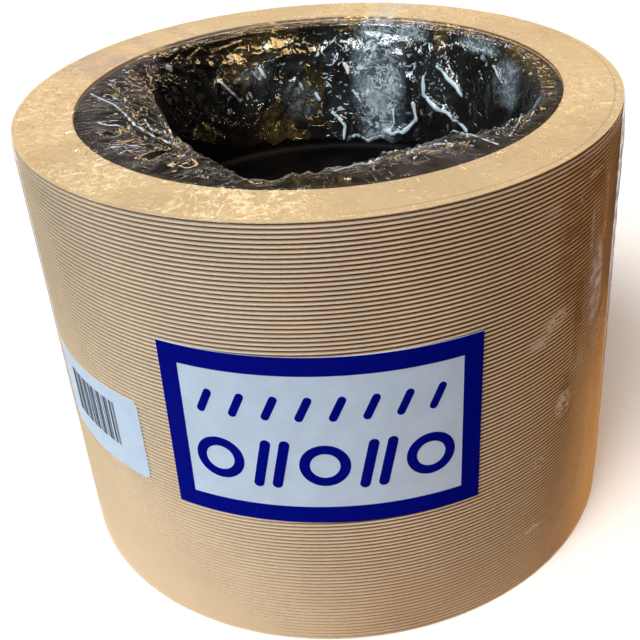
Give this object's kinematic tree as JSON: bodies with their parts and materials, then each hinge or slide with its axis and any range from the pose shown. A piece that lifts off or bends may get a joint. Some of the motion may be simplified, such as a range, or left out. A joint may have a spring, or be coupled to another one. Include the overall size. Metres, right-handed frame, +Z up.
{
  "type": "rice huller rubber roll",
  "caption": "Ribbed rubber roll bonded on a cast drum with a bolted web, standing on end in its clear shrink film, with a bordered front label and a plain barcode label.",
  "frame": {"origin": "on the roll's axis, at the underside of the film that the roll stands on", "axes": "+Z up along the roll's axis, -Y towards the front label, +X to the right seen from the front"},
  "size_m": [0.1648, 0.1648, 0.1276],
  "materials": {
    "rubber": "satin, ribbed",
    "iron": "black painted casting",
    "film": "clear, glossy, creased",
    "label": "smooth coated",
    "blue_ink": "smooth print",
    "black_ink": "smooth print"
  },
  "bodies": {
    "root": {"rubber_sleeve": "rubber", "drum": "iron", "shrink_film": "film", "front_label": "label", "front_label_print": "blue_ink", "barcode_label": "label", "barcode_label_print": "black_ink"}
  },
  "joints": []
}
